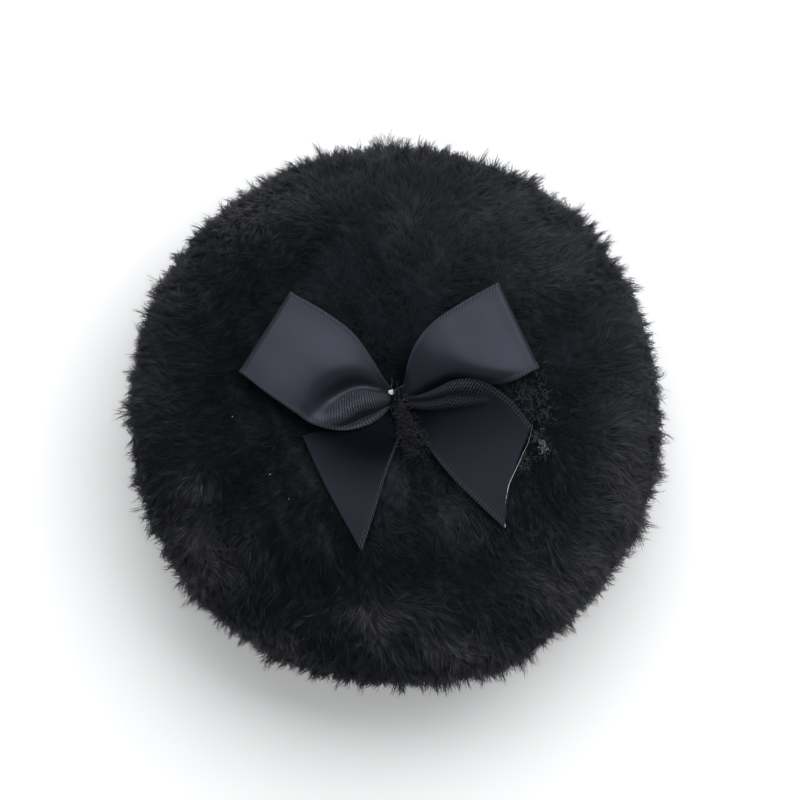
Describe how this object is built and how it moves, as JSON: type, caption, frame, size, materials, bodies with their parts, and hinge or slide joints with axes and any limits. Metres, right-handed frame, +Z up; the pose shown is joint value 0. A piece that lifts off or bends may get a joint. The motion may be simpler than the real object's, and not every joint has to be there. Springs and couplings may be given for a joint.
{
  "type": "powder puff",
  "caption": "Round black plush powder puff with a satin ribbon bow sewn into a tuft on its top.",
  "frame": {"origin": "middle of the flat face that the puff rests on", "axes": "+Z up through the puff's thickness, +Y towards the top of the picture, +X to the right of the picture"},
  "size_m": [0.09, 0.09, 0.0339],
  "materials": {
    "plush": "long soft pile",
    "wadding": "soft fibre",
    "satin": "satin",
    "black_thread": "spun thread",
    "pale_thread": "spun thread"
  },
  "bodies": {
    "puff": {"top_plush_panel": "plush", "bottom_plush_panel": "plush", "filling_pad": "wadding", "rim_seam_thread": "black_thread", "closing_stitches": "black_thread"},
    "bow": {"bow_gather": "satin", "bow_tie_thread": "black_thread", "bow_tie_knot": "pale_thread", "bow_anchor_thread": "black_thread"},
    "loop_left": {"bow_loop_left": "satin"},
    "loop_right": {"bow_loop_right": "satin"},
    "tail_left": {"bow_tail_left": "satin"},
    "tail_right": {"bow_tail_right": "satin"}
  },
  "joints": [
    {"name": "bow_turn", "type": "hinge", "parent": "puff", "child": "bow", "pos_m": [0.0003, 0.0032, 0.0268], "axis": [0, 0, 1], "range_deg": [-15, 15]},
    {"name": "loop_left_lift", "type": "hinge", "parent": "bow", "child": "loop_left", "pos_m": [-0.0023, 0.0043, 0.0283], "axis": [0, 1, 0], "range_deg": [0, 50]},
    {"name": "loop_right_lift", "type": "hinge", "parent": "bow", "child": "loop_right", "pos_m": [0.00245, 0.0044, 0.028], "axis": [0, -1, 0], "range_deg": [0, 50]},
    {"name": "tail_right_lift", "type": "hinge", "parent": "bow", "child": "tail_right", "pos_m": [0.00247, 0.0016, 0.0276], "axis": [0, -1, 0], "range_deg": [0, 50]},
    {"name": "tail_left_lift", "type": "hinge", "parent": "bow", "child": "tail_left", "pos_m": [0.0008, -0.0032, 0.02816], "axis": [-0.9873, 0, 0.1588], "range_deg": [0, 50]}
  ]
}
